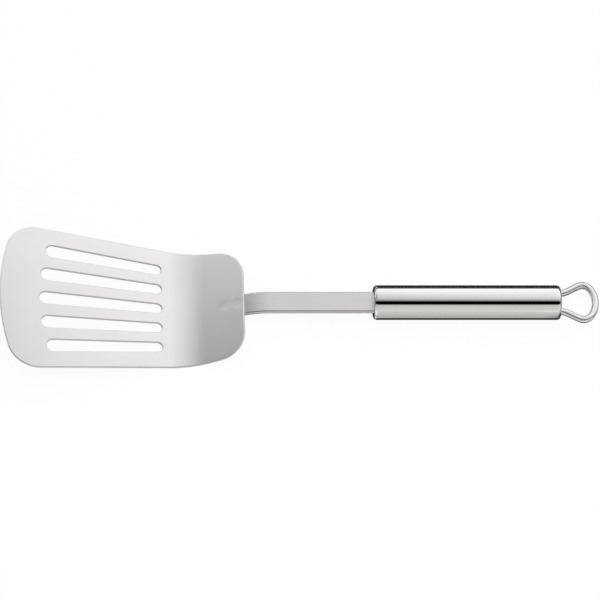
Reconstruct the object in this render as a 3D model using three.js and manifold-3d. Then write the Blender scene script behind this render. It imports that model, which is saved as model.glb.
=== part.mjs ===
// Slotted kitchen turner, all stainless steel, lying on the plane Z = 0.
// A bent sheet blade is spot-welded to a flat bar shank. The shank's tang is welded
// in the front plug of a hollow round handle, and a bent wire hanging loop is welded
// in the rear plug. Millimetres, +X from the blade's tip to the loop, +Z up.
import * as THREE from 'three';
import { mergeVertices } from 'three/addons/utils/BufferGeometryUtils.js';
import Module from 'manifold-3d';

const wasm = await Module();
wasm.setup();
const { degToRad } = THREE.MathUtils;

// Blade: lengths run along the top face, from the tip to the rear edge
const SHEET_THICKNESS = 1.2;
const FLAT_LENGTH = 91.8;
const FLAT_PITCH = degToRad(11.1);
const BEND_RADIUS = 42.3;
const WALL_LENGTH = 19.4;
const WALL_PITCH = degToRad(18.5);
const FRONT_WIDTH = 89.9;
const REAR_WIDTH = 62.5;
const FRONT_RADIUS = 115;
const FRONT_CORNER_RADIUS = 16.6;
const REAR_CORNER_RADIUS = 15.3;

// Drain slots, fanned between the blade's sides
const SLOT_COUNT = 5;
const SLOT_FRONT_WIDTH = 7.1;
const SLOT_REAR_WIDTH = 5.5;
const SLOT_SIDE_LAND = 9.7;
const SLOT_FRONT_LAND = 21.5;
const SLOT_REAR_LAND = 3.6;

// Shank: its reach is from the blade's rear edge to the handle's front face
const SHANK_WIDTH = 12.3;
const SHANK_THICKNESS = 2.5;
const SHANK_REACH = 68.9;
const SHANK_BEND_RADIUS = 38;
const SHANK_EDGE = 0.4;
const LAP_LENGTH = 15;
const TANG_WIDTH = 7;
const TANG_TAIL = 14;

// Handle: a tube closed by two plugs, each with a rounded flange and a spigot
const HANDLE_LENGTH = 100.5;
const HANDLE_DIAMETER = 18.5;
const TUBE_WALL = 1;
const END_RADIUS = 2.2;
const FLANGE_LAND = 0.4;
const SPIGOT_LENGTH = 4;

// Hanging loop: its reach and shoulder are measured from the handle's rear face
const WIRE_DIAMETER = 3.8;
const LOOP_REACH = 20.5;
const LOOP_WIDTH = 24.9;
const LOOP_SHOULDER = 12;
const LEG_STRAIGHT = 0.5;
const LEG_EASE = 2.9;
const LEG_TAIL = 3;

// Welds and clearances
const SPOT_COUNT = 2;
const SPOT_DIAMETER = 4.5;
const TANG_WELD_LEG = 1.2;
const WIRE_WELD_LEG = 0.5;
const WIRE_WELD_RIM = 0.1;
const LAP_GAP = 0.3;
const WELD_GAP = 0.05;
const SPIGOT_CLEARANCE = 0.1;
const HOLE_CLEARANCE = 0.15;

// How finely round stretches are divided
const ROUND_SIDES = 64;
const HOLE_SIDES = 24;
const WIRE_SIDES = 12;
const WIRE_STEPS = 72;
const FRONT_STEPS = 10;
const CORNER_STEPS = 8;
const BEND_STEPS = 12;
const SLOT_END_STEPS = 8;
const FILLET_STEPS = 5;

// Blade profile: the bend's underside and the handle's underside both touch Z = 0
const BEND_LENGTH = BEND_RADIUS * (FLAT_PITCH + WALL_PITCH);
const BEND_END = FLAT_LENGTH + BEND_LENGTH;
const BLADE_LENGTH = BEND_END + WALL_LENGTH;
const BEND_CENTRE_X = FLAT_LENGTH * Math.cos(FLAT_PITCH) + BEND_RADIUS * Math.sin(FLAT_PITCH);
const BEND_CENTRE_Z = SHEET_THICKNESS + BEND_RADIUS;

// Places that the pieces share
const HANDLE_RADIUS = HANDLE_DIAMETER / 2;
const BORE_RADIUS = HANDLE_RADIUS - TUBE_WALL;
const SPIGOT_RADIUS = BORE_RADIUS - SPIGOT_CLEARANCE;
const FLANGE_LENGTH = END_RADIUS + FLANGE_LAND;
const PLUG_LENGTH = FLANGE_LENGTH + SPIGOT_LENGTH;
const CUTTER_LENGTH = 4 * PLUG_LENGTH;
const WIRE_RADIUS = WIRE_DIAMETER / 2;
const WELD_BORE_RADIUS = WIRE_RADIUS + WELD_GAP;
const LEG_OFFSET = SPIGOT_RADIUS - WIRE_WELD_RIM - WIRE_WELD_LEG - WELD_BORE_RADIUS;
const REAR_EDGE = sheetPoint(BLADE_LENGTH, 0, 0);
const HANDLE_FRONT_X = REAR_EDGE.x + SHANK_REACH;
const TIP_X = sheetPoint(0, 0, -SHEET_THICKNESS).x;
const LOOP_END_X = HANDLE_FRONT_X + HANDLE_LENGTH + LOOP_REACH;

// A point of the bent sheet: s along the top face, y across, height above that face
function sheetPoint(s, y, height) {
  const turned = THREE.MathUtils.clamp((s - FLAT_LENGTH) / BEND_RADIUS, 0, FLAT_PITCH + WALL_PITCH);
  const angle = turned - FLAT_PITCH;
  const along = s - THREE.MathUtils.clamp(s, FLAT_LENGTH, BEND_END);
  const drop = BEND_RADIUS - height;
  return new THREE.Vector3(
    BEND_CENTRE_X + drop * Math.sin(angle) + along * Math.cos(angle),
    y,
    BEND_CENTRE_Z - drop * Math.cos(angle) + along * Math.sin(angle),
  );
}

function arc(centreX, centreY, radius, from, to, steps) {
  return Array.from({ length: steps + 1 }, (_, i) => {
    const angle = from + (to - from) * i / steps;
    return new THREE.Vector2(centreX + radius * Math.cos(angle), centreY + radius * Math.sin(angle));
  });
}

// Solids for boolean cuts and joins
function toSolid(geometry) {
  const bare = geometry.clone();
  bare.deleteAttribute('normal');
  bare.deleteAttribute('uv');
  const merged = mergeVertices(bare);
  return new wasm.Manifold(new wasm.Mesh({
    numProp: 3,
    vertProperties: merged.attributes.position.array,
    triVerts: wholeTriangles(merged.index.array),
  }));
}

// A lathe's triangles at its axis have two equal corners, and are left out
function wholeTriangles(index) {
  const kept = [];
  for (let i = 0; i < index.length; i += 3) {
    const [a, b, c] = index.slice(i, i + 3);
    if (a !== b && b !== c && c !== a) kept.push(a, b, c);
  }
  return Uint32Array.from(kept);
}

function toGeometry(solid) {
  const mesh = solid.getMesh();
  const geometry = new THREE.BufferGeometry();
  geometry.setAttribute('position', new THREE.BufferAttribute(mesh.vertProperties, 3));
  geometry.setIndex(new THREE.BufferAttribute(mesh.triVerts, 1));
  geometry.computeVertexNormals();
  return geometry;
}

// A profile of (radius, x) points turned about the X axis
function turnedGeometry(profile, sides) {
  const geometry = new THREE.LatheGeometry(profile, sides);
  return geometry.rotateZ(-Math.PI / 2);
}

// A profile of (x, z) points made into a bar along Y, centred on Y = 0
function barGeometry(profile, width, edge) {
  const depth = width - 2 * edge;
  const geometry = new THREE.ExtrudeGeometry(new THREE.Shape(profile), {
    depth,
    bevelEnabled: edge > 0,
    bevelThickness: edge,
    bevelSize: edge,
    bevelOffset: -edge,
    bevelSegments: 2,
  });
  return geometry.rotateX(Math.PI / 2).translate(0, depth / 2, 0);
}

// Blade outline in the unbent sheet: s along, y across
const SIDE_TAPER = Math.atan((FRONT_WIDTH - REAR_WIDTH) / 2 / BLADE_LENGTH);

function sideAt(s) {
  return FRONT_WIDTH / 2 - s * Math.tan(SIDE_TAPER);
}

// The front corner touches the front arc and the straight side
function frontCorner() {
  const sideDistance = FRONT_WIDTH / 2 * Math.cos(SIDE_TAPER);
  const reach = sideDistance - FRONT_CORNER_RADIUS - FRONT_RADIUS * Math.sin(SIDE_TAPER);
  const back = Math.sqrt((FRONT_RADIUS - FRONT_CORNER_RADIUS) ** 2 - reach ** 2);
  return new THREE.Vector2(
    FRONT_RADIUS + reach * Math.sin(SIDE_TAPER) - back * Math.cos(SIDE_TAPER),
    reach * Math.cos(SIDE_TAPER) + back * Math.sin(SIDE_TAPER),
  );
}

// The rear corner touches the straight side and the rear edge
function rearCorner() {
  const s = BLADE_LENGTH - REAR_CORNER_RADIUS;
  return new THREE.Vector2(s, sideAt(s) - REAR_CORNER_RADIUS / Math.cos(SIDE_TAPER));
}

function frontEdgeNear() {
  const corner = frontCorner();
  const turn = Math.PI + Math.atan2(corner.y, FRONT_RADIUS - corner.x);
  const side = 1.5 * Math.PI + SIDE_TAPER;
  return [
    ...arc(FRONT_RADIUS, 0, FRONT_RADIUS, Math.PI, turn, FRONT_STEPS),
    ...arc(corner.x, -corner.y, FRONT_CORNER_RADIUS, turn, side, CORNER_STEPS).slice(1),
    new THREE.Vector2(FLAT_LENGTH, -sideAt(FLAT_LENGTH)),
  ];
}

function heelEdgeNear() {
  const corner = rearCorner();
  const round = arc(corner.x, -corner.y, REAR_CORNER_RADIUS, SIDE_TAPER - Math.PI / 2, 0, CORNER_STEPS);
  const bend = Array.from({ length: BEND_STEPS + 1 }, (_, i) => {
    const s = FLAT_LENGTH + BEND_LENGTH * i / BEND_STEPS;
    const past = s - corner.x;
    const onSide = s <= round[0].x;
    const half = onSide ? sideAt(s) : corner.y + Math.sqrt(REAR_CORNER_RADIUS ** 2 - past ** 2);
    return new THREE.Vector2(s, -half);
  });
  return [...bend, ...round].sort((a, b) => a.x - b.x);
}

function mirrored(points) {
  return points.map((point) => new THREE.Vector2(point.x, -point.y)).reverse();
}

// A tapered slot with round ends, as a clockwise loop
function slotLoop(number) {
  const share = 2 * number / (SLOT_COUNT - 1) - 1;
  const sideLand = SLOT_SIDE_LAND / Math.cos(SIDE_TAPER);
  const lane = (s, width) => share * (sideAt(s) - sideLand - width / 2);
  const frontRadius = SLOT_FRONT_WIDTH / 2;
  const rearRadius = SLOT_REAR_WIDTH / 2;
  const frontLane = lane(SLOT_FRONT_LAND, SLOT_FRONT_WIDTH);
  const frontEdge = FRONT_RADIUS - Math.sqrt(FRONT_RADIUS ** 2 - frontLane ** 2);
  const frontS = frontEdge + SLOT_FRONT_LAND + frontRadius;
  const front = new THREE.Vector2(frontS, lane(frontS, SLOT_FRONT_WIDTH));
  const rearS = FLAT_LENGTH - SLOT_REAR_LAND - rearRadius;
  const rear = new THREE.Vector2(rearS, lane(rearS, SLOT_REAR_WIDTH));
  const axis = rear.clone().sub(front);
  const heading = axis.angle();
  const touch = Math.acos((frontRadius - rearRadius) / axis.length());
  return [
    ...arc(front.x, front.y, frontRadius, heading + touch, heading + 2 * Math.PI - touch, SLOT_END_STEPS),
    ...arc(rear.x, rear.y, rearRadius, heading - touch, heading + touch, SLOT_END_STEPS),
  ].reverse();
}

function bladeGeometry() {
  const frontNear = frontEdgeNear();
  const heelNear = heelEdgeNear();
  const frontLoop = [...frontNear, ...mirrored(frontNear).slice(0, -1)];
  const slots = Array.from({ length: SLOT_COUNT }, (_, number) => slotLoop(number));
  const near = [...frontNear, ...heelNear.slice(1)];
  const outline = [...near, ...mirrored(near).slice(0, -1)];

  const corners = [frontLoop, ...slots].flat();
  const faces = THREE.ShapeUtils.triangulateShape(frontLoop, slots)
    .map((face) => face.map((i) => corners[i]));
  const heelFar = heelNear.map((point) => new THREE.Vector2(point.x, -point.y));
  for (let i = 1; i < heelNear.length; i += 1) {
    faces.push([heelNear[i - 1], heelNear[i], heelFar[i]], [heelNear[i - 1], heelFar[i], heelFar[i - 1]]);
  }

  const positions = [];
  const top = (point) => sheetPoint(point.x, point.y, 0);
  const under = (point) => sheetPoint(point.x, point.y, -SHEET_THICKNESS);
  const triangle = (a, b, c) => positions.push(...a, ...b, ...c);
  for (const [a, b, c] of faces) {
    triangle(top(a), top(b), top(c));
    triangle(under(c), under(b), under(a));
  }
  for (const loop of [outline, ...slots]) {
    loop.forEach((a, i) => {
      const b = loop[(i + 1) % loop.length];
      triangle(top(a), under(a), under(b));
      triangle(top(a), under(b), top(b));
    });
  }
  const geometry = new THREE.BufferGeometry();
  geometry.setAttribute('position', new THREE.Float32BufferAttribute(positions, 3));
  geometry.computeVertexNormals();
  return geometry;
}

// Shank, seen from the handle's front face, with the handle's axis at z = 0.
// Its front runs parallel to the blade's wall, LAP_GAP below it, and bends level.
const LAP_DEPTH = SHEET_THICKNESS + LAP_GAP + SHANK_THICKNESS / 2;
const LAP_MOUTH = sheetPoint(BLADE_LENGTH, 0, -LAP_DEPTH);

function shankGeometry() {
  const slope = new THREE.Vector2(Math.cos(WALL_PITCH), Math.sin(WALL_PITCH));
  const normal = new THREE.Vector2(-slope.y, slope.x);
  const mouth = new THREE.Vector2(LAP_MOUTH.x - HANDLE_FRONT_X, LAP_MOUTH.z - HANDLE_RADIUS);
  const frontEnd = mouth.clone().addScaledVector(slope, -LAP_LENGTH);
  const kneeX = mouth.x - mouth.y / Math.tan(WALL_PITCH);
  const bendX = kneeX + SHANK_BEND_RADIUS * Math.tan(WALL_PITCH / 2);
  const half = SHANK_THICKNESS / 2;
  const bend = (offset) => arc(bendX, -SHANK_BEND_RADIUS, SHANK_BEND_RADIUS + offset,
    Math.PI / 2 + WALL_PITCH, Math.PI / 2, BEND_STEPS);
  const bar = barGeometry([
    new THREE.Vector2(0, -half),
    new THREE.Vector2(0, half),
    ...bend(half).reverse(),
    frontEnd.clone().addScaledVector(normal, half),
    frontEnd.clone().addScaledVector(normal, -half),
    ...bend(-half),
  ], SHANK_WIDTH, SHANK_EDGE);
  const tangLength = PLUG_LENGTH + TANG_TAIL;
  const root = SHANK_WIDTH / 2;
  const tang = new THREE.BoxGeometry(tangLength + root, TANG_WIDTH, SHANK_THICKNESS);
  tang.translate((tangLength - root) / 2, 0, 0);
  return toGeometry(toSolid(bar).add(toSolid(tang)));
}

function spotGeometry() {
  const thickness = LAP_GAP - 2 * WELD_GAP;
  const geometry = new THREE.CylinderGeometry(SPOT_DIAMETER / 2, SPOT_DIAMETER / 2, thickness, HOLE_SIDES);
  return geometry.rotateX(Math.PI / 2);
}

function tubeGeometry() {
  const front = FLANGE_LENGTH;
  const rear = HANDLE_LENGTH - FLANGE_LENGTH;
  return turnedGeometry([
    new THREE.Vector2(BORE_RADIUS, front),
    new THREE.Vector2(HANDLE_RADIUS, front),
    new THREE.Vector2(HANDLE_RADIUS, rear),
    new THREE.Vector2(BORE_RADIUS, rear),
    new THREE.Vector2(BORE_RADIUS, front),
  ], ROUND_SIDES);
}

// A plug with its outer face at x = 0 and its spigot towards +X
function plugGeometry() {
  return turnedGeometry([
    new THREE.Vector2(0, 0),
    ...arc(HANDLE_RADIUS - END_RADIUS, END_RADIUS, END_RADIUS, -Math.PI / 2, 0, FILLET_STEPS),
    new THREE.Vector2(HANDLE_RADIUS, FLANGE_LENGTH),
    new THREE.Vector2(SPIGOT_RADIUS, FLANGE_LENGTH),
    new THREE.Vector2(SPIGOT_RADIUS, PLUG_LENGTH),
    new THREE.Vector2(0, PLUG_LENGTH),
  ], ROUND_SIDES);
}

function frontPlugGeometry() {
  const slot = new THREE.BoxGeometry(
    CUTTER_LENGTH,
    TANG_WIDTH + 2 * HOLE_CLEARANCE,
    SHANK_THICKNESS + 2 * HOLE_CLEARANCE,
  );
  return toGeometry(toSolid(plugGeometry()).subtract(toSolid(slot)));
}

function rearPlugGeometry() {
  const radius = WIRE_RADIUS + HOLE_CLEARANCE;
  const hole = new THREE.CylinderGeometry(radius, radius, CUTTER_LENGTH, HOLE_SIDES).rotateZ(Math.PI / 2);
  const far = toSolid(hole.clone().translate(0, LEG_OFFSET, 0));
  const near = toSolid(hole.clone().translate(0, -LEG_OFFSET, 0));
  return toGeometry(toSolid(plugGeometry()).subtract(far).subtract(near));
}

// A fillet weld along the tang's upper face, on the front plug's inner face
function tangWeldGeometry() {
  const foot = SHANK_THICKNESS / 2;
  return barGeometry([
    new THREE.Vector2(PLUG_LENGTH, foot),
    new THREE.Vector2(PLUG_LENGTH + TANG_WELD_LEG, foot),
    new THREE.Vector2(PLUG_LENGTH, foot + TANG_WELD_LEG),
  ], TANG_WIDTH, 0);
}

// A ring of weld round a loop leg, with its foot on the plug's inner face at x = 0
function wireWeldGeometry() {
  return turnedGeometry([
    new THREE.Vector2(WELD_BORE_RADIUS, -WIRE_WELD_LEG),
    new THREE.Vector2(WELD_BORE_RADIUS, 0),
    new THREE.Vector2(WELD_BORE_RADIUS + WIRE_WELD_LEG, 0),
    new THREE.Vector2(WELD_BORE_RADIUS, -WIRE_WELD_LEG),
  ].reverse(), HOLE_SIDES);
}

// The handle length, as a share of the radius, of a Bezier curve that makes a quarter round
const QUARTER_HANDLE = 4 / 3 * (Math.SQRT2 - 1);

// One wire from leg to leg, seen from the handle's rear face
function loopGeometry() {
  const wide = LOOP_WIDTH / 2 - WIRE_RADIUS;
  const tip = LOOP_REACH - WIRE_RADIUS;
  const bulge = tip - LOOP_SHOULDER;
  const point = (x, y) => new THREE.Vector3(x, y, 0);
  const half = (side) => [
    [point(-PLUG_LENGTH - LEG_TAIL, side * LEG_OFFSET), point(LEG_STRAIGHT, side * LEG_OFFSET)],
    [
      point(LEG_STRAIGHT, side * LEG_OFFSET),
      point(LEG_STRAIGHT + LEG_EASE, side * LEG_OFFSET),
      point(LOOP_SHOULDER - LEG_EASE, side * wide),
      point(LOOP_SHOULDER, side * wide),
    ],
    [
      point(LOOP_SHOULDER, side * wide),
      point(LOOP_SHOULDER + QUARTER_HANDLE * bulge, side * wide),
      point(tip, side * QUARTER_HANDLE * wide),
      point(tip, 0),
    ],
  ];
  const back = half(-1).reverse().map((points) => points.reverse());
  const path = new THREE.CurvePath();
  for (const points of [...half(1), ...back]) {
    const Curve = points.length === 2 ? THREE.LineCurve3 : THREE.CubicBezierCurve3;
    path.add(new Curve(...points));
  }
  const section = new THREE.Shape(arc(0, 0, WIRE_RADIUS, 0, 2 * Math.PI, WIRE_SIDES).slice(1));
  return new THREE.ExtrudeGeometry(section, { steps: WIRE_STEPS, extrudePath: path });
}

const satinSteel = new THREE.MeshStandardMaterial({ color: 0xd2d1ce, roughness: 0.38, metalness: 1 });
const polishedSteel = new THREE.MeshStandardMaterial({ color: 0xe2e1de, roughness: 0.08, metalness: 1 });
const weldSteel = new THREE.MeshStandardMaterial({ color: 0x9c9a96, roughness: 0.5, metalness: 1 });

function addPart(group, name, geometry, material) {
  const part = new THREE.Mesh(geometry, material);
  part.name = name;
  group.add(part);
  return part;
}

// The whole turner, with its origin below the middle of its length
const turner = new THREE.Group();
const tool = new THREE.Group();
tool.position.x = -(TIP_X + LOOP_END_X) / 2;
turner.add(tool);
addPart(tool, 'blade', bladeGeometry(), satinSteel);

const lapMiddle = -SHEET_THICKNESS - LAP_GAP / 2;
for (let i = 0; i < SPOT_COUNT; i += 1) {
  const inset = LAP_LENGTH * (i + 0.5) / SPOT_COUNT;
  const spot = addPart(tool, `spot_weld_${i + 1}`, spotGeometry(), weldSteel);
  spot.position.copy(sheetPoint(BLADE_LENGTH - inset, 0, lapMiddle));
  spot.rotation.y = -WALL_PITCH;
}

const grip = new THREE.Group();
grip.position.set(HANDLE_FRONT_X, 0, HANDLE_RADIUS);
tool.add(grip);
addPart(grip, 'shank', shankGeometry(), satinSteel);
addPart(grip, 'handle_tube', tubeGeometry(), polishedSteel);
addPart(grip, 'front_plug', frontPlugGeometry(), polishedSteel);
addPart(grip, 'tang_weld_upper', tangWeldGeometry(), weldSteel);
addPart(grip, 'tang_weld_lower', tangWeldGeometry(), weldSteel).rotation.x = Math.PI;

const rearEnd = new THREE.Group();
rearEnd.position.x = HANDLE_LENGTH;
grip.add(rearEnd);
addPart(rearEnd, 'rear_plug', rearPlugGeometry(), polishedSteel).rotation.z = Math.PI;
addPart(rearEnd, 'hanging_loop', loopGeometry(), polishedSteel);
for (const [name, side] of [['loop_weld_far', 1], ['loop_weld_near', -1]]) {
  const weld = addPart(rearEnd, name, wireWeldGeometry(), weldSteel);
  weld.position.set(-PLUG_LENGTH, side * LEG_OFFSET, 0);
}

export default turner;
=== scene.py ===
"""The looks of a slotted steel turner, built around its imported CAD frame. Metres, +Z up."""
import math

import bmesh
import bpy
from mathutils import Matrix, Vector
from mathutils.geometry import tessellate_polygon


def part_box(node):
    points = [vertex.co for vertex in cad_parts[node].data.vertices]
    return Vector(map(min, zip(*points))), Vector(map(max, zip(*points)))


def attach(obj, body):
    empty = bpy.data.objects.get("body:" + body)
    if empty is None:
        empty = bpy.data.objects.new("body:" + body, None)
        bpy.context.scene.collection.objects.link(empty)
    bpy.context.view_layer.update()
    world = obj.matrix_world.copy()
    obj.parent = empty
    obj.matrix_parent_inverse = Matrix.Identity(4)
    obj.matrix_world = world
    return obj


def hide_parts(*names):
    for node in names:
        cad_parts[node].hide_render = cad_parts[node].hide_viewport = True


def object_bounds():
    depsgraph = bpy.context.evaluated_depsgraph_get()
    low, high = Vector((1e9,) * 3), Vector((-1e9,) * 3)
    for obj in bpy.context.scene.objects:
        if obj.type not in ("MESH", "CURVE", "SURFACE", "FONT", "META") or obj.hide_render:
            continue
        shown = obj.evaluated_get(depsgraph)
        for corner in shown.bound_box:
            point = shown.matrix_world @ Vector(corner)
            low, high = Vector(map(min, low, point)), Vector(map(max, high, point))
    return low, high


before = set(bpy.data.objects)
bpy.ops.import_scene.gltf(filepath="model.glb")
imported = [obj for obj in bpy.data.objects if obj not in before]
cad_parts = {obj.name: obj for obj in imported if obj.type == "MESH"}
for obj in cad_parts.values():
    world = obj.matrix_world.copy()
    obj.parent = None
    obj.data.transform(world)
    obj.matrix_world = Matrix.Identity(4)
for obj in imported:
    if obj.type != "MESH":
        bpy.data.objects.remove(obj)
cad_low, cad_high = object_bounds()

# Blade: lengths run along the top face, from the tip to the rear edge
SHEET_THICKNESS = 0.0012
FLAT_LENGTH = 0.0918
FLAT_PITCH = math.radians(11.1)
BEND_RADIUS = 0.0423
WALL_LENGTH = 0.0194
WALL_PITCH = math.radians(18.5)
FRONT_WIDTH = 0.0899
REAR_WIDTH = 0.0625
FRONT_RADIUS = 0.115
FRONT_CORNER_RADIUS = 0.0166
REAR_CORNER_RADIUS = 0.0153
BLADE_EDGE = 0.00055

# Drain slots, fanned between the blade's sides
SLOT_COUNT = 5
SLOT_FRONT_WIDTH = 0.0071
SLOT_REAR_WIDTH = 0.0055
SLOT_SIDE_LAND = 0.0097
SLOT_FRONT_LAND = 0.0215
SLOT_REAR_LAND = 0.0036

# Two spot welds in the lap leave shallow round marks on the wall above them
SPOT_COUNT = 2
MARK_RADIUS = 0.0028
MARK_DEPTH = 0.00006

# Shank and its tang
SHANK_WIDTH = 0.0126
SHANK_THICKNESS = 0.0025
SHANK_BEND_RADIUS = 0.038
SHANK_EDGE = 0.0011
SHANK_END_EDGE = 0.0003
LAP_LENGTH = 0.015
LAP_GAP = 0.0003
TANG_WIDTH = 0.007
TANG_TAIL = 0.014
TANG_EASE = 0.00005

# Handle: a tube closed by two plugs
END_RADIUS = 0.0022
FLANGE_LAND = 0.0004
SPIGOT_LENGTH = 0.004
TUBE_WALL = 0.001
SPIGOT_CLEARANCE = 0.0001
HOLE_CLEARANCE = 0.00015

# Hanging loop, measured from the handle's rear face
LOOP_SHOULDER = 0.012
LEG_STRAIGHT = 0.0005
LEG_EASE = 0.0029
LEG_TAIL = 0.003
LEG_OFFSET = 0.0056

# How finely round stretches are divided
TURN_SIDES = 160
FRONT_STEPS = 40
CORNER_STEPS = 32
BEND_STEPS = 28
WALL_STEPS = 8
HEEL_COLUMNS = 48
COLUMN_EVENNESS = 0.35
SLOT_END_STEPS = 20
EDGE_STEPS = 8
FILLET_STEPS = 14
HOLE_STEPS = 32
WIRE_SIDES = 40
CURVE_STEPS = 60
SHARP_ANGLE = math.radians(40)
NORMAL_WEIGHT = 90

# Camera: the photograph's frame is 600 by 600 pixels
IMAGE_SIZE = 600
PIXELS_PER_METRE = 1876.8
AXIS_PIXEL = (299.77, 302.6)
VIEW_ELEVATION = math.radians(60)
VIEW_AZIMUTH = math.radians(-7)
LENS_MM = 400
SENSOR_MM = 36
CLIP_END = 100

# Places taken from the frame
handle_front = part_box("front_plug")[0].x
handle_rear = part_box("rear_plug")[1].x
blade_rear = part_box("blade")[1].x
tube_low, tube_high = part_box("handle_tube")
handle_radius = (tube_high.z - tube_low.z) / 2
axis_height = (tube_high.z + tube_low.z) / 2
loop_low, loop_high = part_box("hanging_loop")
wire_radius = (loop_high.z - loop_low.z) / 2
flange_length = END_RADIUS + FLANGE_LAND
plug_length = flange_length + SPIGOT_LENGTH


class Shell:
    """Vertices and faces of one closed piece."""

    def __init__(self):
        self.vertices = []
        self.faces = []

    def add(self, point):
        self.vertices.append(tuple(point))
        return len(self.vertices) - 1

    def ring(self, points):
        return [self.add(point) for point in points]

    def band(self, first, second):
        """Quads between two closed rings of as many vertices."""
        for i in range(len(first)):
            self.faces.append((first[i - 1], first[i], second[i], second[i - 1]))

    def fill(self, rings, flat_points):
        """A face with holes, triangulated in its own plane: the outer ring comes first."""
        corners = [index for ring in rings for index in ring]
        loops = [[Vector((a, b, 0)) for a, b in points] for points in flat_points]
        for triangle in tessellate_polygon(loops):
            self.faces.append(tuple(corners[i] for i in triangle))


def closed_mesh(name, shell):
    mesh = bpy.data.meshes.new(name)
    mesh.from_pydata(shell.vertices, [], shell.faces)
    work = bmesh.new()
    work.from_mesh(mesh)
    bmesh.ops.recalc_face_normals(work, faces=work.faces)
    work.to_mesh(mesh)
    work.free()
    return mesh


def add_object(name, data):
    made = bpy.data.objects.new(name, data)
    bpy.context.scene.collection.objects.link(made)
    return made


def drilled_mesh(name, shell, holes):
    """The shell's mesh with prisms cut out of it."""
    block = add_object("block", closed_mesh("block", shell))
    drills = [add_object("drill", closed_mesh("drill", hole)) for hole in holes]
    for drill in drills:
        cut = block.modifiers.new("cut", "BOOLEAN")
        cut.solver = "EXACT"
        cut.object = drill
    scene_state = bpy.context.evaluated_depsgraph_get()
    mesh = bpy.data.meshes.new_from_object(block.evaluated_get(scene_state))
    mesh.name = name
    for used in [block] + drills:
        bpy.data.objects.remove(used)
    return mesh


def make_piece(name, mesh, material):
    """A smooth-shaded piece that rides on the part and stands for the CAD node of that name."""
    mesh.shade_smooth()
    mesh.set_sharp_from_angle(angle=SHARP_ANGLE)
    mesh.materials.append(material)
    piece = add_object(name + "_finish", mesh)
    normals = piece.modifiers.new("flat faces stay flat", "WEIGHTED_NORMAL")
    normals.weight = NORMAL_WEIGHT
    normals.keep_sharp = True
    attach(piece, "root")
    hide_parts(name)


def arc(centre, radius, start, end, steps):
    """Points of an arc, each with its direction away from the centre."""
    made = []
    for i in range(steps + 1):
        angle = start + (end - start) * i / steps
        away = Vector((math.cos(angle), math.sin(angle)))
        made.append((Vector(centre) + radius * away, away))
    return made


# Blade
BEND_ANGLE = FLAT_PITCH + WALL_PITCH
BEND_END = FLAT_LENGTH + BEND_RADIUS * BEND_ANGLE
BLADE_LENGTH = BEND_END + WALL_LENGTH
BEND_CENTRE_X = FLAT_LENGTH * math.cos(FLAT_PITCH) + BEND_RADIUS * math.sin(FLAT_PITCH)
BEND_CENTRE_Z = SHEET_THICKNESS + BEND_RADIUS
SIDE_TAPER = math.atan((FRONT_WIDTH - REAR_WIDTH) / 2 / BLADE_LENGTH)
TIP_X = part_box("blade")[0].x + SHEET_THICKNESS * math.sin(FLAT_PITCH)


def sheet_point(s, y, height):
    """A point of the bent sheet: s along the top face, y across, height above that face."""
    turned = min(max((s - FLAT_LENGTH) / BEND_RADIUS, 0), BEND_ANGLE)
    angle = turned - FLAT_PITCH
    along = s - min(max(s, FLAT_LENGTH), BEND_END)
    drop = BEND_RADIUS - height
    x = TIP_X + BEND_CENTRE_X + drop * math.sin(angle) + along * math.cos(angle)
    z = BEND_CENTRE_Z - drop * math.cos(angle) + along * math.sin(angle)
    return Vector((x, y, z))


def side_at(s):
    return FRONT_WIDTH / 2 - s * math.tan(SIDE_TAPER)


def blade_front():
    """The near half of the front edge: a wide arc and the corner arc that leads into the side."""
    side_distance = FRONT_WIDTH / 2 * math.cos(SIDE_TAPER) - FRONT_RADIUS * math.sin(SIDE_TAPER)
    reach = side_distance - FRONT_CORNER_RADIUS
    back = math.sqrt((FRONT_RADIUS - FRONT_CORNER_RADIUS) ** 2 - reach ** 2)
    corner_s = FRONT_RADIUS + reach * math.sin(SIDE_TAPER) - back * math.cos(SIDE_TAPER)
    corner_y = reach * math.cos(SIDE_TAPER) + back * math.sin(SIDE_TAPER)
    turn = math.pi + math.atan2(corner_y, FRONT_RADIUS - corner_s)
    side = 1.5 * math.pi + SIDE_TAPER
    wide = arc((FRONT_RADIUS, 0), FRONT_RADIUS, math.pi, turn, FRONT_STEPS)
    corner = arc((corner_s, -corner_y), FRONT_CORNER_RADIUS, turn, side, CORNER_STEPS)
    return wide + corner[1:]


def blade_heel():
    """The near side over the bend and the wall, with the round rear corner."""
    corner_s = BLADE_LENGTH - REAR_CORNER_RADIUS
    corner_y = side_at(corner_s) - REAR_CORNER_RADIUS / math.cos(SIDE_TAPER)
    corner = arc((corner_s, -corner_y), REAR_CORNER_RADIUS, SIDE_TAPER - math.pi / 2, 0, CORNER_STEPS)
    outward = corner[0][1]
    corner_start = corner[0][0].x
    bend = [FLAT_LENGTH + (BEND_END - FLAT_LENGTH) * i / BEND_STEPS for i in range(BEND_STEPS)]
    wall = [BEND_END + (corner_start - BEND_END) * i / WALL_STEPS for i in range(WALL_STEPS)]
    return [(Vector((s, -side_at(s))), outward) for s in bend + wall] + corner


def mirrored(stations):
    return [(Vector((point.x, -point.y)), Vector((away.x, -away.y))) for point, away in stations]


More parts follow.
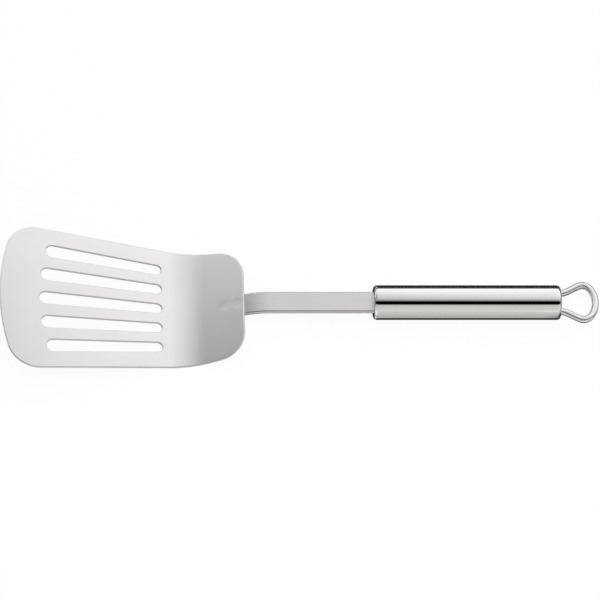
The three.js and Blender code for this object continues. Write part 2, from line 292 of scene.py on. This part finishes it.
def slot_loop(number):
    """A tapered slot with round ends. Directions point out of the steel, into the slot."""
    share = 2 * number / (SLOT_COUNT - 1) - 1
    land = SLOT_SIDE_LAND / math.cos(SIDE_TAPER)
    front_radius = SLOT_FRONT_WIDTH / 2
    rear_radius = SLOT_REAR_WIDTH / 2
    front_lane = share * (side_at(SLOT_FRONT_LAND) - land - front_radius)
    front_edge = FRONT_RADIUS - math.sqrt(FRONT_RADIUS ** 2 - front_lane ** 2)
    front_s = front_edge + SLOT_FRONT_LAND + front_radius
    front = Vector((front_s, share * (side_at(front_s) - land - front_radius)))
    rear_s = FLAT_LENGTH - SLOT_REAR_LAND - rear_radius
    rear = Vector((rear_s, share * (side_at(rear_s) - land - rear_radius)))
    axis = rear - front
    heading = math.atan2(axis.y, axis.x)
    touch = math.acos((front_radius - rear_radius) / axis.length)
    front_end = arc(front, front_radius, heading + touch, heading + 2 * math.pi - touch, SLOT_END_STEPS)
    rear_end = arc(rear, rear_radius, heading - touch, heading + touch, SLOT_END_STEPS)
    return [(point, -away) for point, away in front_end + rear_end]


def edge_profile(edge, thickness):
    """(inset, height) steps from the top face round a rounded edge to the underside."""
    upper = []
    for i in range(EDGE_STEPS + 1):
        angle = math.pi / 2 * i / EDGE_STEPS
        upper.append((edge * (1 - math.sin(angle)), edge * (math.cos(angle) - 1)))
    lower = [(inset, -thickness - height) for inset, height in reversed(upper)]
    return upper + lower


def weld_mark(s, y):
    """How far the wall's top face is pressed in by the spot welds."""
    depth = 0
    for i in range(SPOT_COUNT):
        spot_s = BLADE_LENGTH - LAP_LENGTH * (i + 0.5) / SPOT_COUNT
        distance = math.hypot(s - spot_s, y) / MARK_RADIUS
        depth += MARK_DEPTH * math.exp(-distance ** 4)
    return depth


def column_places():
    """Shares across the heel, closer together in the middle where the weld marks are."""
    shares = [2 * i / HEEL_COLUMNS - 1 for i in range(1, HEEL_COLUMNS)]
    return [COLUMN_EVENNESS * share + (1 - COLUMN_EVENNESS) * share ** 3 for share in shares]


def blade_face(shell, outline, slots, ring, slot_rings, front_count, inset, height):
    """The top face or the underside, inside the rounded edges."""
    flat = [point - inset * away for point, away in outline]
    slot_flats = [[point - inset * away for point, away in slot] for slot in slots]
    near_count = front_count + BEND_STEPS + WALL_STEPS + CORNER_STEPS + 1
    rows = []
    for near in range(front_count, near_count):
        if near == near_count - 1:
            rows.append(ring[near:len(ring) - near + 1])
            continue
        s = flat[near].x
        places = [(s, -share * flat[near].y) for share in column_places()]
        marks = [weld_mark(s, y) if height == 0 else 0 for s, y in places]
        columns = [sheet_point(s, y, height - mark) for (s, y), mark in zip(places, marks)]
        rows.append([ring[near]] + shell.ring(columns) + [ring[-near]])
        if near == front_count:
            front_row = places
    for first, second in zip(rows, rows[1:]):
        for i in range(HEEL_COLUMNS):
            shell.faces.append((first[i], first[i + 1], second[i + 1], second[i]))
    front_ring = ring[:front_count] + rows[0] + ring[len(ring) - front_count + 1:]
    front_flat = flat[:front_count + 1] + front_row + flat[len(ring) - front_count:]
    shell.fill([front_ring] + slot_rings, [front_flat] + slot_flats)


def blade_shell():
    shell = Shell()
    front = blade_front()
    near = front + blade_heel()
    corner, outward = near[-1]
    rear = [(Vector((corner.x, -share * corner.y)), outward) for share in column_places()]
    outline = near + rear + mirrored(near[:0:-1])
    slots = [slot_loop(number) for number in range(SLOT_COUNT)]
    profile = edge_profile(BLADE_EDGE, SHEET_THICKNESS)
    ends = []
    for loop in [outline] + slots:
        rings = []
        for inset, height in profile:
            flat = [point - inset * away for point, away in loop]
            rings.append(shell.ring(sheet_point(s, y, height) for s, y in flat))
        for first, second in zip(rings, rings[1:]):
            shell.band(first, second)
        ends.append((rings[0], rings[-1]))
    for end, height in ((0, 0), (1, -SHEET_THICKNESS)):
        rings = [pair[end] for pair in ends]
        blade_face(shell, outline, slots, rings[0], rings[1:], len(front), BLADE_EDGE, height)
    return shell


# Shank
def rounded_section(half_width, half_thickness, edge):
    """A rounded rectangle as (across, above) pairs."""
    made = []
    for quarter, (side, up) in enumerate(((1, 1), (-1, 1), (-1, -1), (1, -1))):
        centre = (side * (half_width - edge), up * (half_thickness - edge))
        start = quarter * math.pi / 2
        made += [point for point, _ in arc(centre, edge, start, start + math.pi / 2, EDGE_STEPS)]
    return made


def shank_shell():
    """A flat bar from under the blade's wall, through a soft bend, to the tang inside the handle."""
    half = SHANK_THICKNESS / 2
    slope = Vector((math.cos(WALL_PITCH), 0, math.sin(WALL_PITCH)))
    mouth = sheet_point(BLADE_LENGTH, 0, -(SHEET_THICKNESS + LAP_GAP + half))
    start = mouth - LAP_LENGTH * slope
    knee_x = mouth.x + (axis_height - mouth.z) / math.tan(WALL_PITCH)
    bend_x = knee_x + SHANK_BEND_RADIUS * math.tan(WALL_PITCH / 2)
    bend_z = axis_height - SHANK_BEND_RADIUS

    full = rounded_section(SHANK_WIDTH / 2, half, SHANK_EDGE)
    stations = []
    for inset, height in edge_profile(SHANK_END_EDGE, SHANK_THICKNESS)[:EDGE_STEPS + 1]:
        section = rounded_section(SHANK_WIDTH / 2 - inset, half - inset, SHANK_EDGE - inset)
        stations.append((start - height * slope, WALL_PITCH, section))
    for i in range(BEND_STEPS + 1):
        angle = WALL_PITCH * (1 - i / BEND_STEPS)
        centre = Vector((bend_x - SHANK_BEND_RADIUS * math.sin(angle), 0,
                         bend_z + SHANK_BEND_RADIUS * math.cos(angle)))
        stations.append((centre, angle, full))
    shoulder = Vector((handle_front, 0, axis_height))
    tang_end = shoulder + Vector((plug_length + TANG_TAIL, 0, 0))
    tang = rounded_section(TANG_WIDTH / 2, half - TANG_EASE, SHANK_EDGE)
    stations += [(shoulder, 0, full), (shoulder, 0, tang), (tang_end, 0, tang)]

    shell = Shell()
    rings = []
    for centre, angle, section in stations:
        up = Vector((-math.sin(angle), 0, math.cos(angle)))
        points = [centre + Vector((0, across, 0)) + above * up for across, above in section]
        rings.append(shell.ring(points))
    for first, second in zip(rings, rings[1:]):
        shell.band(first, second)
    shell.faces += [tuple(rings[0]), tuple(rings[-1])]
    return shell


# Handle
def turned_ring(shell, x, radius):
    angles = [2 * math.pi * i / TURN_SIDES for i in range(TURN_SIDES)]
    return shell.ring((x, radius * math.cos(a), axis_height + radius * math.sin(a)) for a in angles)


def tube_shell():
    shell = Shell()
    front = handle_front + flange_length
    rear = handle_rear - flange_length
    bore = handle_radius - TUBE_WALL
    corners = ((front, bore), (front, handle_radius), (rear, handle_radius), (rear, bore))
    rings = [turned_ring(shell, x, radius) for x, radius in corners]
    for i in range(len(rings)):
        shell.band(rings[i - 1], rings[i])
    return shell


def plug_shell(face_x, inward):
    """A turned plug with a rounded flange. Its outer face is at face_x and its spigot runs inward."""
    spigot_radius = handle_radius - TUBE_WALL - SPIGOT_CLEARANCE
    centre = (END_RADIUS, handle_radius - END_RADIUS)
    fillet = arc(centre, END_RADIUS, math.pi, math.pi / 2, FILLET_STEPS)
    profile = [tuple(point) for point, _ in fillet]
    profile.append((flange_length, handle_radius))
    profile += [(flange_length, spigot_radius), (plug_length, spigot_radius)]
    shell = Shell()
    rings = [turned_ring(shell, face_x + inward * depth, radius) for depth, radius in profile]
    for first, second in zip(rings, rings[1:]):
        shell.band(first, second)
    shell.faces += [tuple(rings[0]), tuple(rings[-1])]
    return shell


def hole_shell(middle_x, section):
    """A prism along X that runs past both ends of a plug."""
    shell = Shell()
    ends = [shell.ring((middle_x + side * plug_length, y, axis_height + z) for y, z in section)
            for side in (-1, 1)]
    shell.band(*ends)
    shell.faces += [tuple(end) for end in ends]
    return shell


def front_plug_mesh():
    half_width = TANG_WIDTH / 2 + HOLE_CLEARANCE
    half_height = SHANK_THICKNESS / 2 + HOLE_CLEARANCE
    section = rounded_section(half_width, half_height, SHANK_EDGE)
    hole = hole_shell(handle_front + plug_length / 2, section)
    return drilled_mesh("front_plug", plug_shell(handle_front, 1), [hole])


def rear_plug_mesh():
    holes = []
    for side in (-1, 1):
        rim = arc((side * LEG_OFFSET, 0), wire_radius + HOLE_CLEARANCE, 0, 2 * math.pi, HOLE_STEPS)
        section = [tuple(point) for point, _ in rim[1:]]
        holes.append(hole_shell(handle_rear - plug_length / 2, section))
    return drilled_mesh("rear_plug", plug_shell(handle_rear, -1), holes)


# Hanging loop
def bezier(points, steps):
    a, b, c, d = points
    made = []
    for i in range(1, steps + 1):
        t = i / steps
        u = 1 - t
        made.append(u ** 3 * a + 3 * u * u * t * b + 3 * u * t * t * c + t ** 3 * d)
    return made


def loop_path():
    """The wire's centreline from leg to leg, as (x, y) from the handle's rear face."""
    reach = loop_high.x - handle_rear - wire_radius
    wide = (loop_high.y - loop_low.y) / 2 - wire_radius
    quarter = 4 / 3 * (math.sqrt(2) - 1)
    bulge = reach - LOOP_SHOULDER
    tail = Vector((-plug_length - LEG_TAIL, LEG_OFFSET))
    straight = Vector((LEG_STRAIGHT, LEG_OFFSET))
    shoulder = Vector((LOOP_SHOULDER, wide))
    ease = Vector((LEG_EASE, 0))
    half = [tail, straight]
    half += bezier((straight, straight + ease, shoulder - ease, shoulder), CURVE_STEPS)
    half += bezier((
        shoulder,
        shoulder + Vector((quarter * bulge, 0)),
        Vector((reach, quarter * wide)),
        Vector((reach, 0)),
    ), CURVE_STEPS)
    return half + [Vector((point.x, -point.y)) for point in half[-2::-1]]


def loop_shell():
    path = loop_path()
    shell = Shell()
    rings = []
    for i, point in enumerate(path):
        before = path[max(i - 1, 0)]
        after = path[min(i + 1, len(path) - 1)]
        if i == 1 or i == len(path) - 2:
            along = Vector((1, 0)) if i == 1 else Vector((-1, 0))
        else:
            along = (after - before).normalized()
        side = Vector((-along.y, along.x, 0))
        centre = Vector((handle_rear + point.x, point.y, axis_height))
        ring = []
        for k in range(WIRE_SIDES):
            angle = 2 * math.pi * k / WIRE_SIDES
            away = math.cos(angle) * side + Vector((0, 0, math.sin(angle)))
            ring.append(centre + wire_radius * away)
        rings.append(shell.ring(ring))
    for first, second in zip(rings, rings[1:]):
        shell.band(first, second)
    shell.faces += [tuple(rings[0]), tuple(rings[-1])]
    return shell


# Materials: most of a noise's values lie between NOISE_LOW and NOISE_HIGH
NOISE_LOW = 0.3
NOISE_HIGH = 0.7
CLOUD_DETAIL = 3
LINE_DETAIL = 2


def new_material(name):
    material = bpy.data.materials.new(name)
    material.use_nodes = True
    tree = material.node_tree
    tree.nodes.clear()
    output = tree.nodes.new("ShaderNodeOutputMaterial")
    return material, tree, output


def grain(tree, scale, detail):
    """Noise in the part's own coordinates, scaled along X, Y and Z in features per metre."""
    place = tree.nodes.new("ShaderNodeTexCoord")
    stretch = tree.nodes.new("ShaderNodeMapping")
    stretch.inputs["Scale"].default_value = scale
    noise = tree.nodes.new("ShaderNodeTexNoise")
    noise.inputs["Scale"].default_value = 1
    noise.inputs["Detail"].default_value = detail
    tree.links.new(place.outputs["Object"], stretch.inputs["Vector"])
    tree.links.new(stretch.outputs["Vector"], noise.inputs["Vector"])
    return noise.outputs["Fac"]


def spread(tree, value, low, high):
    """Maps noise to the range low to high."""
    ranged = tree.nodes.new("ShaderNodeMapRange")
    ranged.inputs["From Min"].default_value = NOISE_LOW
    ranged.inputs["From Max"].default_value = NOISE_HIGH
    ranged.inputs["To Min"].default_value = low
    ranged.inputs["To Max"].default_value = high
    tree.links.new(value, ranged.inputs["Value"])
    return ranged.outputs["Result"]


def tint(tree, value, dark, light):
    """Maps noise to a colour between dark and light."""
    mixed = tree.nodes.new("ShaderNodeMix")
    mixed.data_type = "RGBA"
    mixed.inputs["A"].default_value = (*dark, 1)
    mixed.inputs["B"].default_value = (*light, 1)
    tree.links.new(spread(tree, value, 0, 1), mixed.inputs["Factor"])
    return mixed.outputs["Result"]


def steel(name, dark, light, roughness, lines, clouds, bump):
    """Bare steel: soft clouds of tone, and fine lines that vary the roughness and the surface."""
    material, tree, output = new_material(name)
    shader = tree.nodes.new("ShaderNodeBsdfPrincipled")
    shader.inputs["Metallic"].default_value = 1
    cloud = grain(tree, clouds, CLOUD_DETAIL)
    line = grain(tree, lines, LINE_DETAIL)
    tree.links.new(tint(tree, cloud, dark, light), shader.inputs["Base Color"])
    tree.links.new(spread(tree, line, *roughness), shader.inputs["Roughness"])
    relief = tree.nodes.new("ShaderNodeBump")
    relief.inputs["Strength"].default_value = 1
    relief.inputs["Distance"].default_value = bump
    tree.links.new(line, relief.inputs["Height"])
    tree.links.new(relief.outputs["Normal"], shader.inputs["Normal"])
    tree.links.new(shader.outputs["BSDF"], output.inputs["Surface"])
    return material


def make_materials():
    steels = {
        "satin_blade": dict(
            dark=(0.75, 0.745, 0.735),
            light=(0.78, 0.775, 0.765),
            roughness=(0.28, 0.34),
            lines=(900, 5000, 5000),
            clouds=(40, 40, 40),
            bump=0.0000005,
        ),
        "satin_shank": dict(
            dark=(0.61, 0.603, 0.59),
            light=(0.64, 0.633, 0.62),
            roughness=(0.26, 0.32),
            lines=(150, 6000, 6000),
            clouds=(60, 200, 200),
            bump=0.0000005,
        ),
        "polished_handle": dict(
            dark=(0.75, 0.745, 0.735),
            light=(0.77, 0.765, 0.755),
            roughness=(0.05, 0.08),
            lines=(60, 4000, 4000),
            clouds=(30, 60, 60),
            bump=0.00000005,
        ),
        "polished_wire": dict(
            dark=(0.75, 0.745, 0.735),
            light=(0.78, 0.775, 0.765),
            roughness=(0.27, 0.32),
            lines=(1500, 1500, 1500),
            clouds=(80, 80, 80),
            bump=0.0000001,
        ),
        "weld": dict(
            dark=(0.38, 0.36, 0.34),
            light=(0.56, 0.55, 0.53),
            roughness=(0.42, 0.62),
            lines=(2500, 2500, 2500),
            clouds=(700, 700, 700),
            bump=0.00002,
        ),
    }
    return {name: steel(name, **settings) for name, settings in steels.items()}


# Stage
FLOOR_SIZE = 8
FLOOR_COLOUR = (0.97, 0.97, 0.97, 1)
FLOOR_GLOW = 0.95
CARD_HEIGHT = 0.000005
WHITE = (1, 1, 1)
CREAM = (1, 0.983, 0.944)

# Lines that floor cards begin and end at, along the part and across it
tip_line = cad_low.x - 0.02
lap_line = blade_rear + 0.0043
rim_line = handle_front - 0.0056
band_line = handle_front - 0.0046
front_line = handle_front + 0.0001
rear_line = handle_rear + 0.0004
loop_line = handle_rear + 0.0029
NEAR_LINE = -0.0132
FAR_LINE = 0.03
SHANK_LINE = 0.006

# Floor cards: name, start and end along X, start and end along Y, tone at the near and the far side.
# The dark ones draw the outlines of blade, shank and handle. Those under the blade, under the shank's
# near side and under the handle's near side are painted shade, standing in for the shaded floor there as
# the steel mirrors it. The warm ones light the handle's lower half as a painted reflection of the pale
# floor in front, darker towards the handle as painted shade, and the last one greys the ground by the
# loop.
CARDS = (
    # painted shade: the shaded floor under the blade, as the steel mirrors it
    ("blade_shade_card", (tip_line, lap_line), (-0.07, 0.07), (0.55, 0.2), WHITE),
    ("shank_card", (lap_line, rim_line), (SHANK_LINE, 0.12), (0.08, 0.08), WHITE),
    # painted shade: the shaded floor under the shank's near side, as the steel mirrors it
    ("shank_front_shade_card", (lap_line, rim_line), (-0.015, SHANK_LINE), (0.2, 0.2), WHITE),
    ("front_rim_card", (rim_line, front_line), (-0.0095, FAR_LINE), (0.01, 0.01), WHITE),
    # painted shade: the handle's contact shadow on the floor, as the steel mirrors it
    ("handle_near_shade_card", (front_line, rear_line), (NEAR_LINE, -0.005), (0.03, 0.03), WHITE),
    ("handle_far_card", (front_line, rear_line), (0.0145, FAR_LINE), (0.03, 0.03), WHITE),
    ("far_card", (band_line, 0.4), (FAR_LINE, 2), (0.03, 0.03), WHITE),
    # painted reflection of the pale floor in front of the handle, darker towards the handle as painted
    # shade
    ("front_card", (band_line, loop_line), (-0.05, NEAR_LINE), (0.74, 0.56), CREAM),
    ("far_front_card", (band_line, loop_line), (-1.5, -0.05), (0.82, 0.74), CREAM),
    ("rear_rim_card", (rear_line, loop_line), (-0.012, 0), (0.02, 0.02), WHITE),
    ("loop_floor_card", (loop_line, 0.3), (-0.1, FAR_LINE), (0.62, 0.62), WHITE),
)

# Soft flags: name, centre, radius and the share of light that each takes in its middle.
# Those overhead shade the blade. Those on the floor are painted shade: dark discs, seen only in mirror
# reflections, that darken the handle's rear edge and the loop's eye in place of the shade of handle and
# loop on the floor.
OVERHEAD_FLAGS = (
    ("wall_flag", (-0.25, 0.13, 0.3), 0.25, 0.67),
    ("wall_near_flag", (-0.18, 0.05, 0.2), 0.14, 0.75),
    ("near_flag", (-0.06, 0.03, 0.3), 0.26, 0.22),
)
FLOOR_FLAGS = (
    ("rear_edge_shade", (handle_rear + 0.0104, -0.012, 2 * CARD_HEIGHT), 0.022, 1),
    ("loop_shade", (handle_rear + 0.0164, 0.006, 3 * CARD_HEIGHT), 0.014, 1),
)

# An overhead lamp for the floor and matt surfaces
FILL_HEIGHT = 2
FILL_SIZE = 2
FILL_RADIANCE = 1.6


def quad(name, low, high, z):
    """A level rectangle between two corners, as part of the stage."""
    mesh = bpy.data.meshes.new(name)
    corners = [(low[0], low[1], z), (high[0], low[1], z), (high[0], high[1], z), (low[0], high[1], z)]
    mesh.from_pydata(corners, [], [(0, 1, 2, 3)])
    made = add_object(name, mesh)
    return made


def math_node(tree, operation, first, second):
    """A Math node. Each operand is a socket or a number."""
    made = tree.nodes.new("ShaderNodeMath")
    made.operation = operation
    for socket, value in zip(made.inputs, (first, second)):
        if isinstance(value, (int, float)):
            socket.default_value = value
        else:
            tree.links.new(value, socket)
    return made.outputs["Value"]


def mix_shaders(tree, share, first, second):
    mixed = tree.nodes.new("ShaderNodeMixShader")
    tree.links.new(share, mixed.inputs["Fac"])
    tree.links.new(first, mixed.inputs[1])
    tree.links.new(second, mixed.inputs[2])
    return mixed.outputs["Shader"]


def floor_material():
    """Pale and matt, with a share of white glow for camera, mirror and glass rays. Clear from below."""
    material, tree, output = new_material("floor")
    lit = tree.nodes.new("ShaderNodeBsdfDiffuse")
    lit.inputs["Color"].default_value = FLOOR_COLOUR
    glow = tree.nodes.new("ShaderNodeEmission")
    path = tree.nodes.new("ShaderNodeLightPath")
    seen = math_node(tree, "MAXIMUM", path.outputs["Is Camera Ray"], path.outputs["Is Glossy Ray"])
    seen = math_node(tree, "MAXIMUM", seen, path.outputs["Is Transmission Ray"])
    share = math_node(tree, "MULTIPLY", seen, FLOOR_GLOW)
    top = mix_shaders(tree, share, lit.outputs["BSDF"], glow.outputs["Emission"])
    side = tree.nodes.new("ShaderNodeNewGeometry")
    clear = tree.nodes.new("ShaderNodeBsdfTransparent")
    whole = mix_shaders(tree, side.outputs["Backfacing"], top, clear.outputs["BSDF"])
    tree.links.new(whole, output.inputs["Surface"])
    return material


def make_floor():
    half = FLOOR_SIZE / 2
    floor = quad("floor", (-half, -half), (half, half), 0)
    floor.data.materials.append(floor_material())


def mirror_card(name, along, across, tones, hue):
    """A card on the floor that only mirror reflections see, as a photographer flags bright steel. Its
    tones are painted reflection, and painted shade where the card lies in the part's shadow.
    """
    near, far = across
    card = quad(name, (along[0], near), (along[1], far), CARD_HEIGHT)
    material, tree, output = new_material(name)
    flat = tree.nodes.new("ShaderNodeEmission")
    place = tree.nodes.new("ShaderNodeNewGeometry")
    split = tree.nodes.new("ShaderNodeSeparateXYZ")
    tree.links.new(place.outputs["Position"], split.inputs["Vector"])
    stops = ((near, tones[0], hue), (far, tones[1], hue))
    tone = ramp(tree, split.outputs["Y"], near, far, stops)
    tree.links.new(tone, flat.inputs["Color"])
    tree.links.new(flat.outputs["Emission"], output.inputs["Surface"])
    card.data.materials.append(material)
    card.visible_camera = False
    card.visible_diffuse = False
    card.visible_shadow = False
    card.visible_transmission = False


def soft_flag(name, centre, radius, share):
    """A round soft-edged flag. It takes a share of what mirror reflections see there."""
    x, y, z = centre
    flag = quad(name, (x - radius, y - radius), (x + radius, y + radius), z)
    material, tree, output = new_material(name)
    place = tree.nodes.new("ShaderNodeNewGeometry")
    offset = tree.nodes.new("ShaderNodeVectorMath")
    offset.operation = "DISTANCE"
    offset.inputs[1].default_value = centre
    tree.links.new(place.outputs["Position"], offset.inputs[0])
    falloff = tree.nodes.new("ShaderNodeMapRange")
    falloff.interpolation_type = "SMOOTHERSTEP"
    falloff.inputs["From Min"].default_value = radius
    falloff.inputs["From Max"].default_value = 0
    falloff.inputs["To Max"].default_value = share
    tree.links.new(offset.outputs["Value"], falloff.inputs["Value"])
    clear = tree.nodes.new("ShaderNodeBsdfTransparent")
    dark = tree.nodes.new("ShaderNodeEmission")
    dark.inputs["Strength"].default_value = 0
    veil = mix_shaders(tree, falloff.outputs["Result"], clear.outputs["BSDF"], dark.outputs["Emission"])
    tree.links.new(veil, output.inputs["Surface"])
    flag.data.materials.append(material)
    flag.visible_camera = False
    flag.visible_diffuse = False
    flag.visible_transmission = False
    return flag


def ramp(tree, value, low, high, stops):
    """A ramp over the range low to high. A stop is a place, a level and, unless it is white, a hue."""
    ranged = tree.nodes.new("ShaderNodeMapRange")
    ranged.inputs["From Min"].default_value = low
    ranged.inputs["From Max"].default_value = high
    tree.links.new(value, ranged.inputs["Value"])
    made = tree.nodes.new("ShaderNodeValToRGB")
    elements = made.color_ramp.elements
    while len(elements) < len(stops):
        elements.new(1)
    for element, (place, level, *hue) in zip(elements, stops):
        element.position = (place - low) / (high - low)
        element.color = (*(level * part for part in (hue[0] if hue else WHITE)), 1)
    tree.links.new(ranged.outputs["Result"], made.inputs["Fac"])
    return made.outputs["Color"]


# Studio light by direction. ARCH is over the part, in degrees from the near horizon, through the zenith,
# to the far one: a grey front card, a dark gap round the camera, and a bright far side above a dark
# horizon. ENDS is a factor along the part, from its tip's side at -1 to its loop's side at 1.
ARCH = (
    (0, 0.83, CREAM), (42, 0.7, CREAM), (49, 0), (67, 0), (77.5, 0.52), (92, 0.86), (123, 1.05),
    (166.5, 1.26), (168.5, 0.03), (180, 0.03),
)
ENDS = (
    (-1, 0.08), (-0.96, 0.08), (-0.91, 0.86), (-0.44, 0.92), (0, 1), (0.3, 1.12), (0.91, 1.12),
    (0.96, 0.08), (1, 0.08),
)


def studio_world():
    world = bpy.data.worlds.new("studio")
    bpy.context.scene.world = world
    world.use_nodes = True
    tree = world.node_tree
    tree.nodes.clear()
    output = tree.nodes.new("ShaderNodeOutputWorld")
    background = tree.nodes.new("ShaderNodeBackground")
    place = tree.nodes.new("ShaderNodeTexCoord")
    split = tree.nodes.new("ShaderNodeSeparateXYZ")
    tree.links.new(place.outputs["Generated"], split.inputs["Vector"])
    nearness = math_node(tree, "MULTIPLY", split.outputs["Y"], -1)
    angle = math_node(tree, "ARCTAN2", split.outputs["Z"], nearness)
    degrees = math_node(tree, "MULTIPLY", angle, math.degrees(1))
    level = tree.nodes.new("ShaderNodeMix")
    level.data_type = "RGBA"
    level.blend_type = "MULTIPLY"
    level.inputs["Factor"].default_value = 1
    tree.links.new(ramp(tree, degrees, 0, 180, ARCH), level.inputs["A"])
    tree.links.new(ramp(tree, split.outputs["X"], -1, 1, ENDS), level.inputs["B"])
    tree.links.new(level.outputs["Result"], background.inputs["Color"])
    tree.links.new(background.outputs["Background"], output.inputs["Surface"])


def fill_lamp():
    """An overhead lamp that mirrors don't show."""
    light = bpy.data.lights.new("fill", "AREA")
    light.shape = "SQUARE"
    light.size = FILL_SIZE
    light.energy = math.pi * FILL_SIZE ** 2 * FILL_RADIANCE
    lamp = add_object("fill", light)
    lamp.location = (0, 0, FILL_HEIGHT)
    lamp.visible_camera = False
    lamp.visible_glossy = False


def make_camera():
    """A long lens from the photograph's angle, turned so that the handle lies level in the frame."""
    toward = Vector((
        math.sin(VIEW_AZIMUTH) * math.cos(VIEW_ELEVATION),
        -math.cos(VIEW_AZIMUTH) * math.cos(VIEW_ELEVATION),
        math.sin(VIEW_ELEVATION),
    ))
    right = Vector((math.cos(VIEW_AZIMUTH), math.sin(VIEW_AZIMUTH), 0))
    up = toward.cross(right)
    roll = math.atan2(up.x, right.x)
    level_right = math.cos(roll) * right + math.sin(roll) * up
    level_up = toward.cross(level_right)
    middle = IMAGE_SIZE / 2
    target = Vector((0, 0, axis_height))
    target += level_right * (middle - AXIS_PIXEL[0]) / PIXELS_PER_METRE
    target -= level_up * (middle - AXIS_PIXEL[1]) / PIXELS_PER_METRE
    distance = LENS_MM / SENSOR_MM * IMAGE_SIZE / PIXELS_PER_METRE
    lens = bpy.data.cameras.new("camera")
    lens.lens = LENS_MM
    lens.sensor_width = SENSOR_MM
    lens.clip_end = CLIP_END
    camera = add_object("camera", lens)
    turn = Matrix((level_right, level_up, toward)).transposed()
    camera.matrix_world = Matrix.Translation(target + distance * toward) @ turn.to_4x4()
    bpy.context.scene.camera = camera


def main():
    bpy.context.scene.view_settings.view_transform = "Standard"
    materials = make_materials()
    pieces = (
        ("blade", closed_mesh("blade", blade_shell()), "satin_blade"),
        ("shank", closed_mesh("shank", shank_shell()), "satin_shank"),
        ("handle_tube", closed_mesh("handle_tube", tube_shell()), "polished_handle"),
        ("front_plug", front_plug_mesh(), "polished_handle"),
        ("rear_plug", rear_plug_mesh(), "polished_handle"),
        ("hanging_loop", closed_mesh("hanging_loop", loop_shell()), "polished_wire"),
    )
    for name, mesh, slot in pieces:
        make_piece(name, mesh, materials[slot])
    for name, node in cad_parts.items():
        if "weld" in name:
            node.data.materials.clear()
            node.data.materials.append(materials["weld"])

    make_floor()
    for card in CARDS:
        mirror_card(*card)
    for flag in OVERHEAD_FLAGS:
        soft_flag(*flag)
    for flag in FLOOR_FLAGS:
        soft_flag(*flag).visible_shadow = False
    studio_world()
    fill_lamp()
    make_camera()


main()
